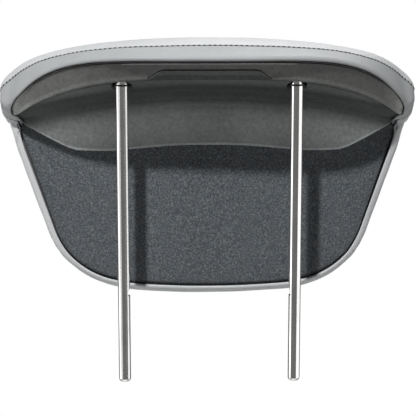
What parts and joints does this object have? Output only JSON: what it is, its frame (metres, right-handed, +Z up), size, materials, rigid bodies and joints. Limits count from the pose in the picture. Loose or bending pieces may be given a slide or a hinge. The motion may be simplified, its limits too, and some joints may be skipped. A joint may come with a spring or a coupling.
{
  "type": "car headrest",
  "caption": "Saddle-shaped car headrest: leather pad with a fabric-lined flap and plastic rear shell, on one bent chrome rod whose ends slide into a seat back.",
  "frame": {"origin": "midway between the axes of the two posts, where they leave the underside of the pad", "axes": "+Z up along the posts, +Y towards the head side (car forward), +X to the right seen from behind"},
  "size_m": [0.3508, 0.1219, 0.2831],
  "materials": {
    "grey_leather": "fine-grained light grey leather",
    "charcoal_fabric": "heather charcoal woven lining",
    "grey_shell_plastic": "fine-grained mid grey",
    "dark_cover_plastic": "fine-grained dark grey",
    "chrome": "polished",
    "moulded_foam": "moulded polyurethane foam",
    "fibre_board": "pressed fibre board",
    "black_plastic": "black moulded",
    "zinc_steel": "zinc plated",
    "white_strip": "extruded strip"
  },
  "bodies": {
    "root": {"front_cover": "grey_leather", "rear_band": "grey_leather", "foam_pad": "moulded_foam", "flap_lining": "charcoal_fabric", "flap_board": "fibre_board", "rear_shell": "grey_shell_plastic", "inner_cover": "dark_cover_plastic", "post_frame": "chrome", "post_collar_left": "black_plastic", "post_collar_right": "black_plastic", "carrier": "black_plastic", "saddle_left": "zinc_steel", "saddle_right": "zinc_steel", "saddle_screw_left_rear": "zinc_steel", "saddle_screw_left_front": "zinc_steel", "saddle_screw_right_rear": "zinc_steel", "saddle_screw_right_front": "zinc_steel", "hem_strip": "white_strip"}
  },
  "joints": []
}
